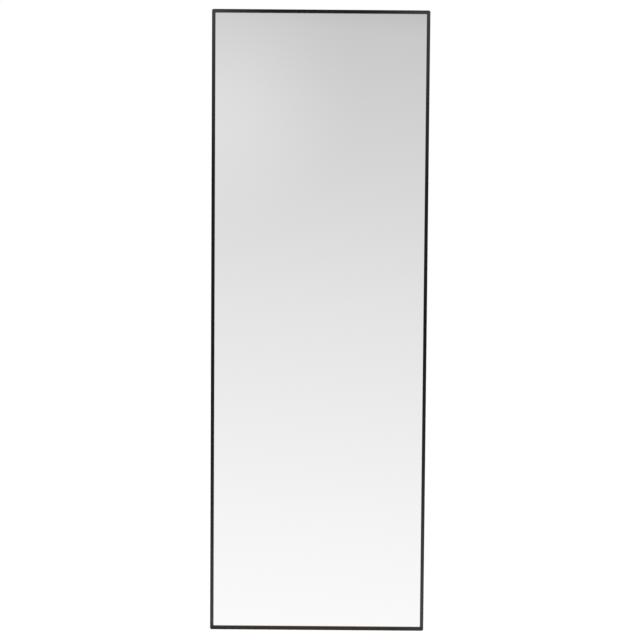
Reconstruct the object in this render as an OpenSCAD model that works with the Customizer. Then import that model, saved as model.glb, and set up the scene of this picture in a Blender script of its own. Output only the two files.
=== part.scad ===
// Tall wall mirror with a thin black frame of extruded aluminium.
// The rails hold a glass, a foam sheet and a backing board, and have a channel behind them for the hardware.
// Millimetres. +Z is up, +X is to the right as one faces the mirror, and the front looks along -Y.
// The origin is the mirror's centre, in the plane of the wall that the rubber bumpers rest on.

/* [Overall size] */
// Width over the frame
frame_w = 350; // [250:10:700]
// Height over the frame
frame_h = 1008; // [800:4:1800]

/* [Frame section] */
// Width of the front lip, which is the black line that is seen from the front
face_w = 5.4; // [3.4:0.1:10]
// Thickness of the front lip
lip_t = 3; // [1:0.1:4]
// Thickness of the outer wall
wall_t = 1.4; // [1:0.1:2]
// Clear width inside the hardware channel
channel_w = 9.4; // [9:0.1:14]
// Clear depth inside the hardware channel
channel_d = 4.6; // [4.4:0.1:7]
// Thickness of the channel's floor, which the spring clips push against
floor_t = 1.2; // [1:0.1:2]
// Thickness of the channel's inner side wall
side_t = 1.2; // [1:0.1:2]
// Thickness of the two rear lips that keep the hardware in the channel
rear_lip_t = 1.2; // [1:0.1:2]
// Width of the slot between the rear lips
slot_w = 5.4; // [5:0.1:7]
// Radius of the section's rounded edges
edge_r = 0.4; // [0.2:0.05:0.6]
// Radius of the frame's outer corners, seen from the front
corner_r = 3; // [0.5:0.1:3.2]

/* [Glass and backing] */
// Thickness of the mirror glass
glass_t = 4; // [3:0.5:6]
// Width of the bevel ground on the edges of the glass
arris = 0.5; // [0.2:0.1:1]
// Thickness of the foam sheet behind the glass
foam_t = 1; // [0.5:0.1:3]
// Thickness of the backing board
board_t = 3; // [3:0.5:8]
// Gap between the sheets' edges and the frame's outer wall
pane_gap = 0.6; // [0.3:0.1:1]

/* [Spring clips] */
// Room between the backing board and the channel's floor
clip_room = 2; // [1.2:0.1:3]
// Length of a clip
clip_l = 56; // [40:1:80]
// Width of a clip
clip_w = 11; // [8:0.5:14]
// Thickness of the spring steel
clip_t = 0.5; // [0.3:0.05:0.8]
// Play between a clip's crown and the channel's floor
clip_play = 0.03; // [0.01:0.01:0.1]
// Distance from the frame's end to the middle of the first clip on a stile
clip_inset = 110; // [90:1:120]

/* [Corner joints] */
// Length of a corner key's leg, measured from the frame's outer corner
key_leg = 38; // [30:1:48]
// Thickness of a corner key
key_t = 2; // [1.5:0.1:2.4]
// Play between the hardware's sides and the channel's walls
side_play = 0.2; // [0.1:0.05:0.4]
// Thickness of the backup plate that the set screws bear on
backup_t = 1; // [0.6:0.1:1.2]
// Length of a set screw
set_screw_l = 4; // [3:0.5:5]
// Width across the flats of the set screw's socket
socket_af = 2; // [1.5:0.1:2.5]
// Depth of the set screw's socket
socket_depth = 1.6; // [1:0.1:2]
// Distance from a leg's end to its outer set screw
key_screw_end = 6; // [5:0.5:8]
// Distance between the two set screws of a leg
key_screw_pitch = 14; // [10:0.5:16]

/* [Screws] */
// Diameter of the screws' thread
screw_d = 4; // [3:0.5:4.5]
// Radial play between a screw and its tapped hole
thread_play = 0.05; // [0.02:0.01:0.1]
// Diameter of a pan head
head_d = 7.6; // [6:0.1:9]
// Height of a pan head
head_h = 2.4; // [1.6:0.1:3]
// Length of a hanger screw under its head
hanger_screw_l = 5.4; // [5:0.2:6]
// Radial play between a hanger screw and the hole in the plate
hole_play = 0.25; // [0.1:0.05:0.5]

/* [Hangers] */
// Distance from the top of the frame to the pivot of the rings
hanger_drop = 150; // [145:1:300]
// Distance from the frame's outer face to the near edge of a hanger plate
plate_inset = 1.2; // [0.5:0.1:2]
// Width of a hanger plate
plate_w = 31; // [31:0.5:40]
// Height of a hanger plate, without its knuckle
plate_h = 34; // [30:0.5:44]
// Thickness of the plate's steel
plate_t = 1.2; // [1:0.1:1.3]
// Radius of the plate's corners
plate_r = 3; // [1:0.5:5]
// Distance between the two screws of a plate
plate_screw_pitch = 20; // [16:0.5:24]
// Length of the nut plate in the channel
nut_l = 32; // [28:0.5:44]
// Thickness of the nut plate
nut_t = 2; // [1.5:0.1:2.4]
// Width of the rolled knuckle that holds a ring
knuckle_w = 9; // [6:0.5:11]
// Gap between the knuckle's axis and the body of the plate below it
knuckle_neck = 3.2; // [3:0.1:5]

/* [Rings] */
// Distance from the frame's outer face to the middle of a ring
ring_inset = 22; // [21.8:0.1:22.4]
// Diameter of a ring's wire
wire_d = 2.5; // [2:0.1:2.7]
// Radial play between a ring and its knuckle
ring_play = 0.08; // [0.03:0.01:0.1]
// Clear width inside a ring
ring_w = 14; // [12:0.1:14.4]
// Length of a ring's straight sides, from the pivot to the start of the half circle
ring_side = 4; // [3:0.5:6]
// Radius of the bends beside the pivot, at the middle of the wire
ring_bend = 2; // [1.5:0.1:2.2]

/* [Wall bumpers] */
// Diameter of a bumper
bumper_d = 10; // [8:0.5:11.5]
// Height of a bumper, which is the gap between the frame and the wall
bumper_h = 6; // [5.5:0.5:10]
// Radius of the rim of a bumper's face
bumper_rim = 1.2; // [0.5:0.1:2]
// Play on each side of a bumper's stem in the slot
stem_play = 0.1; // [0.05:0.05:0.3]
// Diameter of the barb that holds a bumper in the channel
barb_d = 7; // [6.5:0.1:8]
// Length of the barb
barb_l = 2.6; // [2:0.1:4]
// Distance from the frame's end to the middle of a bumper
bumper_inset = 60; // [55:1:70]

/* [Hidden] */
$fn = 64;
// Cutters run past what they cut by this much
over = 1;
// Flats on each half of a spring clip's bow
bow_steps = 12;

// Depths behind the front face of the frame, from the lip to the rear lips
glass_at = lip_t;
foam_at = glass_at + glass_t;
board_at = foam_at + foam_t;
clip_at = board_at + board_t;
floor_at = clip_at + clip_room;
channel_at = floor_at + floor_t;
rear_lip_at = channel_at + channel_d;
frame_d = rear_lip_at + rear_lip_t;
front_y = -bumper_h - frame_d;

// Places across the section, from the frame's outer face inwards
section_w = wall_t + channel_w + side_t;
slot_at = wall_t + channel_w / 2;
hardware_w = channel_w - 2 * side_play;

sheet_w = frame_w - 2 * (wall_t + pane_gap);
sheet_h = frame_h - 2 * (wall_t + pane_gap);

clip_z = frame_h / 2 - clip_inset;
hinge_z = frame_h / 2 - hanger_drop;

wire_r = wire_d / 2;
knuckle_bore_r = wire_r + ring_play;
knuckle_r = knuckle_bore_r + plate_t;
hinge_y = -bumper_h + knuckle_r;
plate_screw_z = -knuckle_neck - plate_h / 2;
arc_r = ring_w / 2 + wire_r;

key_at = rear_lip_at - key_t;
nut_at = rear_lip_at - nut_t;

black = [0.10, 0.10, 0.11];
steel = [0.72, 0.73, 0.75];
zinc = [0.80, 0.80, 0.78];

// Puts a child on a side: it lies along X, its depth runs along +Y and it reaches inwards along -Z
module on_side(side) {
    upright = side == "left" || side == "right";
    turn = side == "top" ? 0 : side == "right" ? 90 : side == "bottom" ? 180 : 270;
    rotate([0, turn, 0])
        translate([0, front_y, upright ? frame_w / 2 : frame_h / 2])
            children();
}

// Puts a child in a corner: its legs run along -X and -Z from the frame's outer corner
module in_corner(level, side) {
    mirror([side == "left" ? 1 : 0, 0, 0])
        mirror([0, 0, level == "bottom" ? 1 : 0])
            translate([frame_w / 2, front_y, frame_h / 2])
                children();
}

// Puts a child at a hanger's pivot height: X runs inwards from the outer face of the stile
module on_hanger(side) {
    mirror([side == "right" ? 1 : 0, 0, 0])
        translate([-frame_w / 2, 0, hinge_z])
            children();
}

// A screw or a hole that stands on a depth and runs rearwards along +Y
module rearwards(depth) {
    translate([0, depth, 0])
        rotate([-90, 0, 0])
            children();
}

// A flat shape in X and Z, made as thick as asked from a depth rearwards
module plate_from(depth, thickness) {
    translate([0, depth + thickness, 0])
        rotate([90, 0, 0])
            linear_extrude(height = thickness)
                children();
}

// A rectangle with true round corners, centred
module rounded_rect(w, h, r) {
    square([w - 2 * r, h], center = true);
    square([w, h - 2 * r], center = true);
    for (x = [-1, 1])
        for (z = [-1, 1])
            translate([x * (w / 2 - r), z * (h / 2 - r)])
                circle(r);
}

// What a round edge of radius r leaves of a square corner
module edge_waste(r) {
    difference() {
        translate([-over, -over])
            square(r + over);
        translate([r, r])
            circle(r);
    }
}

// The section of the rails, with depth along the first axis and the way inwards along minus the second
module rail_section() {
    difference() {
        polygon([
            [0, 0],
            [0, -face_w],
            [lip_t, -face_w],
            [lip_t, -wall_t],
            [floor_at, -wall_t],
            [floor_at, -section_w],
            [frame_d, -section_w],
            [frame_d, -slot_at - slot_w / 2],
            [rear_lip_at, -slot_at - slot_w / 2],
            [rear_lip_at, -section_w + side_t],
            [channel_at, -section_w + side_t],
            [channel_at, -wall_t],
            [rear_lip_at, -wall_t],
            [rear_lip_at, -slot_at + slot_w / 2],
            [frame_d, -slot_at + slot_w / 2],
            [frame_d, 0]
        ]);
        mirror([0, 1])
            edge_waste(edge_r);
        translate([0, -face_w])
            edge_waste(edge_r);
        translate([frame_d, 0])
            rotate([0, 0, 180])
                edge_waste(edge_r);
    }
}

// The outline of a rail from the front: cut to 45 degrees at both ends, with its tips filed round
module rail_outline(length) {
    reach = max(section_w, face_w) + over;
    difference() {
        polygon([
            [-length / 2, 0],
            [length / 2, 0],
            [length / 2 - reach, -reach],
            [-length / 2 + reach, -reach]
        ]);
        for (end = [0, 1])
            mirror([end, 0])
                translate([length / 2, 0])
                    rotate([0, 0, 180])
                        edge_waste(corner_r);
    }
}

// A rail of the full outer length
module rail(length) {
    color(black)
        intersection() {
            rotate([90, 0, 90])
                linear_extrude(height = length, center = true)
                    rail_section();
            plate_from(-over, frame_d + 2 * over)
                rail_outline(length);
        }
}

// A bar of w by t with its four long edges bevelled, seen from its end
module arris_section(w, t, a) {
    polygon([
        [-w / 2 + a, 0],
        [w / 2 - a, 0],
        [w / 2, a],
        [w / 2, t - a],
        [w / 2 - a, t],
        [-w / 2 + a, t],
        [-w / 2, t - a],
        [-w / 2, a]
    ]);
}

module mirror_glass() {
    color([0.86, 0.88, 0.88])
        translate([0, front_y + glass_at, 0])
            intersection() {
                translate([0, 0, -sheet_h / 2])
                    linear_extrude(height = sheet_h)
                        arris_section(sheet_w, glass_t, arris);
                rotate([0, 90, 0])
                    linear_extrude(height = sheet_w, center = true)
                        arris_section(sheet_h, glass_t, arris);
            }
}

// A plain sheet as large as the glass, from a depth behind the front face
module sheet(depth, thickness) {
    translate([-sheet_w / 2, front_y + depth, -sheet_h / 2])
        cube([sheet_w, thickness, sheet_h]);
}

module cushion_sheet() {
    color([0.93, 0.93, 0.91])
        sheet(foam_at, foam_t);
}

module backing_board() {
    color([0.55, 0.42, 0.29])
        sheet(board_at, board_t);
}

// Radius of a strip of a length and thickness whose bow fills a height
function bow_radius(length, t, height) =
    (pow(height, 2) - pow(t, 2) + pow(length / 2, 2)) / (2 * (height - t));

// Points of an arc about the origin, from a half angle on one side of the second axis to the other
function bow_arc(r, half_angle) =
    [for (i = [-bow_steps:bow_steps]) let (a = half_angle * i / bow_steps) r * [sin(a), cos(a)]];

// A clip with its crown on the channel's floor and its ends on the board, at a place along a side
module spring_clip(side, along) {
    height = clip_room - clip_play;
    bow_r = bow_radius(clip_l, clip_t, height);
    half_angle = asin(clip_l / 2 / (bow_r - clip_t));
    backwards = [for (i = [2 * bow_steps:-1:0]) i];
    inner = bow_arc(bow_r - clip_t, half_angle);
    color(steel)
        on_side(side)
            translate([along, clip_at + height - bow_r, -wall_t - pane_gap - clip_w])
                linear_extrude(height = clip_w)
                    polygon(concat(bow_arc(bow_r, half_angle), [for (i = backwards) inner[i]]));
}

// An L that runs in the channels of two sides and round their corner
module corner_ell() {
    near = slot_at - hardware_w / 2;
    far = slot_at + hardware_w / 2;
    polygon([
        [-near, -near],
        [-key_leg, -near],
        [-key_leg, -far],
        [-far, -far],
        [-far, -key_leg],
        [-near, -key_leg]
    ]);
}

// Puts a child at each of the four set screws of a corner
module at_key_screws() {
    for (i = [0, 1]) {
        along = key_leg - key_screw_end - i * key_screw_pitch;
        translate([-along, 0, -slot_at])
            children();
        translate([-slot_at, 0, -along])
            children();
    }
}

module corner_key(level, side) {
    color(zinc)
        in_corner(level, side)
            difference() {
                plate_from(key_at, key_t)
                    corner_ell();
                at_key_screws()
                    rearwards(key_at - over)
                        cylinder(r = screw_d / 2 + thread_play, h = key_t + 2 * over);
            }
}

module corner_backup(level, side) {
    color(steel)
        in_corner(level, side)
            plate_from(channel_at, backup_t)
                corner_ell();
}

module set_screw() {
    difference() {
        cylinder(d = screw_d, h = set_screw_l);
        translate([0, 0, set_screw_l - socket_depth])
            cylinder(d = socket_af / cos(30), h = socket_depth + over, $fn = 6);
    }
}

module corner_set_screws() {
    color([0.25, 0.25, 0.27])
        for (level = ["top", "bottom"])
            for (side = ["left", "right"])
                in_corner(level, side)
                    at_key_screws()
                        rearwards(channel_at + backup_t)
                            set_screw();
}

// Puts a child at each of a hanger's two screws
module at_plate_screws() {
    for (i = [-1, 1])
        translate([slot_at, 0, plate_screw_z + i * plate_screw_pitch / 2])
            children();
}

module hanger_nut(side) {
    color(zinc)
        on_hanger(side)
            difference() {
                plate_from(front_y + nut_at, nut_t)
                    translate([slot_at, plate_screw_z])
                        square([hardware_w, nut_l], center = true);
                at_plate_screws()
                    rearwards(front_y + nut_at - over)
                        cylinder(r = screw_d / 2 + thread_play, h = nut_t + 2 * over);
            }
}

// The plate lies on the rear lips and reaches inwards, and its upper tongue is rolled into the knuckle
module hanger_plate(side) {
    color(zinc)
        on_hanger(side)
            difference() {
                union() {
                    plate_from(-bumper_h, plate_t) {
                        translate([plate_inset + plate_w / 2, plate_screw_z])
                            rounded_rect(plate_w, plate_h, plate_r);
                        translate([ring_inset - knuckle_w / 2, -knuckle_neck - plate_r])
                            square([knuckle_w, knuckle_neck + plate_r]);
                    }
                    translate([ring_inset, hinge_y, 0])
                        rotate([0, 90, 0])
                            cylinder(r = knuckle_r, h = knuckle_w, center = true);
                }
                translate([ring_inset, hinge_y, 0])
                    rotate([0, 90, 0])
                        cylinder(r = knuckle_bore_r, h = knuckle_w + 2 * over, center = true);
                at_plate_screws()
                    rearwards(-bumper_h - over)
                        cylinder(r = screw_d / 2 + hole_play, h = plate_t + 2 * over);
            }
}

// The ring hangs from its bar, which turns in the knuckle: two bends, two straight sides and a half circle
module hanger_ring(side) {
    bend_x = arc_r - ring_bend;
    color(steel)
        on_hanger(side)
            translate([ring_inset, hinge_y, 0])
                rotate([90, 0, 0]) {
                    rotate([0, 90, 0])
                        cylinder(r = wire_r, h = 2 * bend_x, center = true);
                    for (x = [-1, 1]) {
                        translate([x * bend_x, -ring_bend, 0])
                            rotate([0, 0, x > 0 ? 0 : 90])
                                rotate_extrude(angle = 90)
                                    translate([ring_bend, 0])
                                        circle(wire_r);
                        translate([x * arc_r, -ring_side, 0])
                            rotate([-90, 0, 0])
                                cylinder(r = wire_r, h = ring_side - ring_bend);
                    }
                    translate([0, -ring_side, 0])
                        rotate([0, 0, 180])
                            rotate_extrude(angle = 180)
                                translate([arc_r, 0])
                                    circle(wire_r);
                }
}

// A pan head screw that points forwards, with the seat of its head at z = 0
module pan_screw() {
    crown_r = head_d / 8;
    cross_w = screw_d / 4;
    cross_l = head_d * 0.55;
    cross_depth = head_h * 0.6;
    translate([0, 0, -hanger_screw_l])
        cylinder(d = screw_d, h = hanger_screw_l);
    difference() {
        rotate_extrude()
            difference() {
                square([head_d / 2, head_h]);
                translate([head_d / 2, head_h])
                    rotate([0, 0, 180])
                        edge_waste(crown_r);
            }
        for (turn = [0, 90])
            rotate([0, 0, turn])
                translate([-cross_l / 2, -cross_w / 2, head_h - cross_depth])
                    cube([cross_l, cross_w, cross_depth + over]);
    }
}

module hanger_screws() {
    color(steel)
        for (side = ["left", "right"])
            on_hanger(side)
                at_plate_screws()
                    rearwards(-bumper_h + plate_t)
                        pan_screw();
}

// A bumper's face rests on the wall, its stem fills the slot and its barb hooks under the rear lips
module wall_bumper(level, side) {
    stem_d = slot_w - 2 * stem_play;
    color([0.16, 0.16, 0.16])
        in_corner(level, side)
            translate([-slot_at, 0, -bumper_inset])
                rearwards(frame_d) {
                    rotate_extrude()
                        difference() {
                            square([bumper_d / 2, bumper_h]);
                            translate([bumper_d / 2, bumper_h])
                                rotate([0, 0, 180])
                                    edge_waste(bumper_rim);
                        }
                    translate([0, 0, -rear_lip_t])
                        cylinder(d = stem_d, h = rear_lip_t);
                    translate([0, 0, -rear_lip_t - barb_l])
                        cylinder(d1 = stem_d / 2, d2 = barb_d, h = barb_l);
                }
}

on_side("top") rail(frame_w);  // frame_top_rail
on_side("right") rail(frame_h);  // frame_right_stile
on_side("bottom") rail(frame_w);  // frame_bottom_rail
on_side("left") rail(frame_h);  // frame_left_stile
mirror_glass();
cushion_sheet();
backing_board();
spring_clip("left", clip_z);  // spring_left_top
spring_clip("left", 0);  // spring_left_middle
spring_clip("left", -clip_z);  // spring_left_bottom
spring_clip("right", -clip_z);  // spring_right_top
spring_clip("right", 0);  // spring_right_middle
spring_clip("right", clip_z);  // spring_right_bottom
spring_clip("top", 0);  // spring_top
spring_clip("bottom", 0);  // spring_bottom
corner_key("top", "right");  // corner_key_top_right
corner_key("bottom", "right");  // corner_key_bottom_right
corner_key("bottom", "left");  // corner_key_bottom_left
corner_key("top", "left");  // corner_key_top_left
corner_backup("top", "right");  // corner_backup_top_right
corner_backup("bottom", "right");  // corner_backup_bottom_right
corner_backup("bottom", "left");  // corner_backup_bottom_left
corner_backup("top", "left");  // corner_backup_top_left
corner_set_screws();
hanger_nut("left");  // hanger_nut_left
hanger_nut("right");  // hanger_nut_right
hanger_plate("left");  // hanger_plate_left
hanger_plate("right");  // hanger_plate_right
hanger_ring("left");  // hanger_ring_left
hanger_ring("right");  // hanger_ring_right
hanger_screws();
wall_bumper("top", "right");  // wall_bumper_top_right
wall_bumper("bottom", "right");  // wall_bumper_bottom_right
wall_bumper("bottom", "left");  // wall_bumper_bottom_left
wall_bumper("top", "left");  // wall_bumper_top_left
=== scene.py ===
# %% [markdown]
# # A tall wall mirror in a thin black frame
#
# The mirror is 350 mm wide and 1008 mm high. Four rails of extruded aluminium, coated black and mitred at
# the corners, hold a pane of silvered glass with a foam sheet and a board behind it. Spring clips press
# the pane against the front lip, L-shaped keys join the corners, and two swivelling D rings hang the
# mirror on the wall.
#
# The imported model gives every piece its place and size. This file gives each one its edges, its small
# forms and its surface, and then sets up the light and the camera.

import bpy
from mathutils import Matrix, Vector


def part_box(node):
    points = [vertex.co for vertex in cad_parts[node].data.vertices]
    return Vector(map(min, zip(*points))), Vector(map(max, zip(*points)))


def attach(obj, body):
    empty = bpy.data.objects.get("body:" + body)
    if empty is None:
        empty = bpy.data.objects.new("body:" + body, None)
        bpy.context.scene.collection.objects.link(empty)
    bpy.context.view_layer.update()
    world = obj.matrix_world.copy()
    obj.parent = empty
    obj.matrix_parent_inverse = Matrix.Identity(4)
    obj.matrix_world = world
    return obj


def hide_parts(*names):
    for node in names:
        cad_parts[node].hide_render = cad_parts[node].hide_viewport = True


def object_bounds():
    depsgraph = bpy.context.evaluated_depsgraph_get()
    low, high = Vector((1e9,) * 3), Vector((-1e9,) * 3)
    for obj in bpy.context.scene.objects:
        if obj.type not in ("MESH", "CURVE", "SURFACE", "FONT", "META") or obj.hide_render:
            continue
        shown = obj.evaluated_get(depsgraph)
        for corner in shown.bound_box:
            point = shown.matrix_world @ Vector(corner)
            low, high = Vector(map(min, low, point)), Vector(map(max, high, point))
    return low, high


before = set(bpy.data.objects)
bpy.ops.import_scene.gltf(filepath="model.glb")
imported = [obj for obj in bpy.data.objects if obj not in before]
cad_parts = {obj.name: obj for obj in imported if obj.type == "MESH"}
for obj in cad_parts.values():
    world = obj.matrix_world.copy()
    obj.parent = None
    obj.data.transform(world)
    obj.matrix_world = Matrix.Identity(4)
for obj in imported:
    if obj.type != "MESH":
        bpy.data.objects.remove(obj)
cad_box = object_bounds()

# %% Modules and units
import math

import bmesh
import bpy
from mathutils import Matrix, Vector

MM = 0.001
UP = Vector((0, 0, 1))
RIGHT = Vector((1, 0, 0))
REAR = Vector((0, 1, 0))

# %% [markdown]
# ## The sizes that everything follows
#
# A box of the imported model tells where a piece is. What a box can't tell is how thick a wall or how wide
# a slot is, so those sizes are written here once, in millimetres, as they stand in the drawing of the
# section.

# %% Sizes of the frame's section and of the hardware, in millimetres
LIP_T = 3.0
FACE_W = 5.4
WALL_T = 1.4
FLOOR_AT = 13.0
FLOOR_T = 1.2
REAR_LIP_T = 1.2
SIDE_T = 1.2
SLOT_W = 5.4
EDGE_R = 0.4
SOFT_R = 0.15

low, high = cad_box
rail_low, rail_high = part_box("frame_top_rail")
FRAME_W = (high.x - low.x) / MM
FRAME_H = (high.z - low.z) / MM
FRAME_D = (rail_high.y - rail_low.y) / MM
SECTION_W = (rail_high.z - rail_low.z) / MM
FRONT_Y = rail_low.y / MM
BACK_Y = rail_high.y / MM
SLOT_AT = WALL_T + (SECTION_W - SIDE_T - WALL_T) / 2
print(f"frame {FRAME_W:.1f} x {FRAME_D:.1f} x {FRAME_H:.1f} mm")
print(f"section {SECTION_W:.1f} mm wide, slot at {SLOT_AT:.2f} mm")

# %% [markdown]
# ## The camera
#
# In the photograph the mirror's sides run together very slightly towards the bottom, so the camera stood
# a little above the middle and looked down by three and a half degrees. The two sides lean alike, so it
# stood straight in front. The small difference in width between the top and the bottom gives a distance
# of about two and a half metres, and with it a long lens. The picture is also turned clockwise by less
# than half a degree, which is kept.

# %% The camera, from where it stood and how it was held
CAMERA_AT = Vector((0.0023, -2.5144, 0.1573))
CAMERA_LENS = 86.5
CAMERA_YAW = 0.013
CAMERA_PITCH = -3.481
CAMERA_ROLL = 0.433

camera = bpy.data.objects.new("Camera", bpy.data.cameras.new("Camera"))
bpy.context.scene.collection.objects.link(camera)
camera.data.lens = CAMERA_LENS
turn_left = Matrix.Rotation(math.radians(CAMERA_YAW), 4, "Z")
look_down = Matrix.Rotation(math.radians(90 + CAMERA_PITCH), 4, "X")
lean = Matrix.Rotation(math.radians(CAMERA_ROLL), 4, "Z")
camera.matrix_world = Matrix.Translation(CAMERA_AT) @ turn_left @ look_down @ lean
bpy.context.scene.camera = camera
bpy.context.scene.view_settings.view_transform = "Standard"
print("camera at", [round(v, 3) for v in CAMERA_AT], "with a lens of", CAMERA_LENS, "mm")

# %% [markdown]
# ## Colours and shader nodes
#
# A hex colour is written for the screen, and a shader works with light, so one function turns the first
# into the second. Another fills a node's sockets, and a third adds a node with its settings and sockets.
# A colour mix is the Mix node set to RGBA. It keeps the sockets of its other kinds as well, under the same
# names, so its own are told apart by number.

# %% From a hex colour to light, and one way to add a node
MIX_UNDER = 6
MIX_OVER = 7
MIX_COLOUR = 2


def light_of(colour):
    """The linear red, green, blue and alpha of a hex colour."""
    screen = [int(colour[i : i + 2], 16) / 255 for i in (1, 3, 5)]
    return (*[v / 12.92 if v <= 0.04045 else ((v + 0.055) / 1.055) ** 2.4 for v in screen], 1)


def feed(node, sockets):
    """Fills sockets with a value, a hex colour, an output, or a node, which stands for its first output."""
    for name, value in dict(sockets).items():
        if isinstance(value, bpy.types.Node):
            value = value.outputs[0]
        if isinstance(value, bpy.types.NodeSocket):
            node.id_data.links.new(value, node.inputs[name])
        else:
            node.inputs[name].default_value = light_of(value) if isinstance(value, str) else value


def add(tree, kind, sockets=(), stops=(), **settings):
    """Adds a shader node with its settings and its sockets. Stops fill the ramp of a colour ramp."""
    made = tree.nodes.new("ShaderNode" + kind)
    for name, value in settings.items():
        setattr(made, name, value)
    feed(made, sockets)
    for i, (place, colour) in enumerate(stops):
        element = made.color_ramp.elements[i] if i < 2 else made.color_ramp.elements.new(place)
        element.position = place
        element.color = light_of(colour)
    return made


def ray_kinds(tree):
    """Whether a ray is the camera's, and whether it comes off a glossy surface or through a clear one."""
    path = add(tree, "LightPath").outputs
    off = add(tree, "Math", {0: path["Is Glossy Ray"], 1: path["Is Transmission Ray"]}, operation="MAXIMUM")
    return path["Is Camera Ray"], off


print("mid grey is", round(light_of("#808080")[0], 3), "of white in light")

# %% [markdown]
# ## What the mirror sees
#
# A mirror has no look of its own: it shows what stands before it. In the photograph that is a pale
# studio, white low down and greyer towards the top, with a softly lit patch on the upper left. So the
# world is painted by direction for glossy rays. The camera itself sees plain white, and everything else
# gets plain soft light.

# %% A world of soft white light, with a pale studio for mirrors and metal to show
STUDIO_LOW = -0.30
STUDIO_HIGH = 0.20
GLOW_TOWARDS = Vector((-0.070, -0.992, 0.083)).normalized()
GLOW_REACH = 0.101
GLOW_STRENGTH = 0.094
STUDIO_UP = Vector((0.075, 0, 0.99))
STUDIO_STOPS = (
    (0.0, "#FFFFFF"), (0.12, "#FCFCFC"), (0.30, "#F2F2F2"), (0.50, "#E5E5E5"),
    (0.66, "#D9D9D9"), (0.85, "#CBCBCB"), (0.905, "#B7B7B7"),
)
SOFT_LIGHT = 0.5

world = bpy.data.worlds.new("Studio")
bpy.context.scene.world = world
world.use_nodes = True
sky = world.node_tree
sky.nodes.clear()
towards = add(sky, "TexCoord").outputs["Generated"]
rise = add(sky, "VectorMath", {0: towards, 1: STUDIO_UP}, operation="DOT_PRODUCT").outputs["Value"]
span = {"Value": rise, "From Min": STUDIO_LOW, "From Max": STUDIO_HIGH}
share = add(sky, "MapRange", span)
studio = add(sky, "ValToRGB", {"Fac": share}, stops=STUDIO_STOPS)
studio.color_ramp.interpolation = "B_SPLINE"
off_glow = add(sky, "VectorMath", {0: towards, 1: GLOW_TOWARDS}, operation="DISTANCE").outputs["Value"]
glow_sockets = {"Value": off_glow, "From Min": GLOW_REACH, "From Max": 0.0, "To Max": GLOW_STRENGTH}
glow = add(sky, "MapRange", glow_sockets, interpolation_type="SMOOTHSTEP")
both = {"Factor": 1.0, MIX_UNDER: studio, MIX_OVER: glow}
lit = add(sky, "Mix", both, data_type="RGBA", blend_type="ADD").outputs[MIX_COLOUR]
camera_ray, glossy_ray = ray_kinds(sky)
seen = add(sky, "Background", {"Color": "#FFFFFF", "Strength": 1.0})
mirrored = add(sky, "Background", {"Color": lit, "Strength": 1.0})
soft = add(sky, "Background", {"Color": "#FFFFFF", "Strength": SOFT_LIGHT})
by_gloss = add(sky, "MixShader", {0: glossy_ray, 1: soft, 2: mirrored})
by_camera = add(sky, "MixShader", {0: camera_ray, 1: by_gloss, 2: seen})
add(sky, "OutputWorld", {"Surface": by_camera})
print("world nodes", len(sky.nodes))

# %% [markdown]
# ## Soft light
#
# A wide, soft sun from high in front and a weaker one from behind give even light everywhere, so the
# floor is as bright far away as it is near, and the shadow falls close to the mirror. Lamps near the
# mirror would show in it from some side. A sun stands so high that the mirror shows it only to someone
# far below.

# %% Two soft suns
def sun(name, source, width, strength):
    """A sun that shines from a point's direction, as soft as its width in degrees."""
    lamp = bpy.data.objects.new(name, bpy.data.lights.new(name, "SUN"))
    bpy.context.scene.collection.objects.link(lamp)
    lamp.data.angle = math.radians(width)
    lamp.data.energy = strength
    lamp.rotation_euler = Vector(source).to_track_quat("Z", "Y").to_euler()
    return lamp


suns = [
    sun("Sun_front", (-0.45, -0.65, 1.25), 24, 1.3),
    sun("Sun_back", (0.45, 0.80, 0.75), 24, 1.1),
]
print("suns", [(lamp.name, round(lamp.data.energy, 2)) for lamp in suns])

# %% [markdown]
# ## The floor
#
# The mirror hangs, so the floor lies some way below it. It is pale paper in the light of the suns, so that
# the mirror's shadow shows on it, and for the camera it gets a faint glow of its own, which lifts it to
# white. Mirrors and metal look through it to the studio beyond, because the photographed mirror shows no
# floor line.

# %% A pale floor
FLOOR_DROP = 0.30
FLOOR_SIZE = 14.0
FLOOR_GLOW = 0.2

bpy.ops.mesh.primitive_plane_add(size=FLOOR_SIZE, location=(0, 0, low.z - FLOOR_DROP))
floor = bpy.context.active_object
floor.name = "Floor"
paper = bpy.data.materials.new("Pale_studio_paper")
paper.use_nodes = True
tree = paper.node_tree
tree.nodes.clear()
matt = add(tree, "BsdfDiffuse", {"Color": "#E6E6E6"})
lift = add(tree, "Emission", {"Color": "#FFFFFF", "Strength": FLOOR_GLOW})
lifted = add(tree, "AddShader", {0: matt, 1: lift})
camera_ray, glossy_ray = ray_kinds(tree)
shown = add(tree, "MixShader", {0: camera_ray, 1: matt, 2: lifted})
ground = add(tree, "MixShader", {0: glossy_ray, 1: shown, 2: add(tree, "BsdfTransparent")})
add(tree, "OutputMaterial", {"Surface": ground})
floor.data.materials.append(paper)
print("floor at", round(floor.location.z, 3), "m")

# %% [markdown]
# ## How a material is laid out
#
# Each material starts as one Principled shader with the base colour, metallic and roughness of the real
# thing. Its patterns read Object coordinates, in metres, so a pattern of a given size in millimetres
# needs a scale of one thousand over that size. Every piece lies in one frame, so a pattern runs on evenly
# from piece to piece.

# %% A new material, and the scale of a pattern
def per(size):
    """The scale that gives a noise or wave pattern features of a size in millimetres."""
    return 1 / (size * MM)


def finish(name, **values):
    """A material with one Principled shader: returns it, its tree, its shader and Object coordinates."""
    made = bpy.data.materials.new(name)
    made.use_nodes = True
    tree = made.node_tree
    tree.nodes.clear()
    surface = add(tree, "BsdfPrincipled", {k.replace("_", " "): v for k, v in values.items()})
    add(tree, "OutputMaterial", {"Surface": surface})
    return made, tree, surface, add(tree, "TexCoord").outputs["Object"]


print("a 2 mm pattern has a scale of", per(2))

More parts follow.
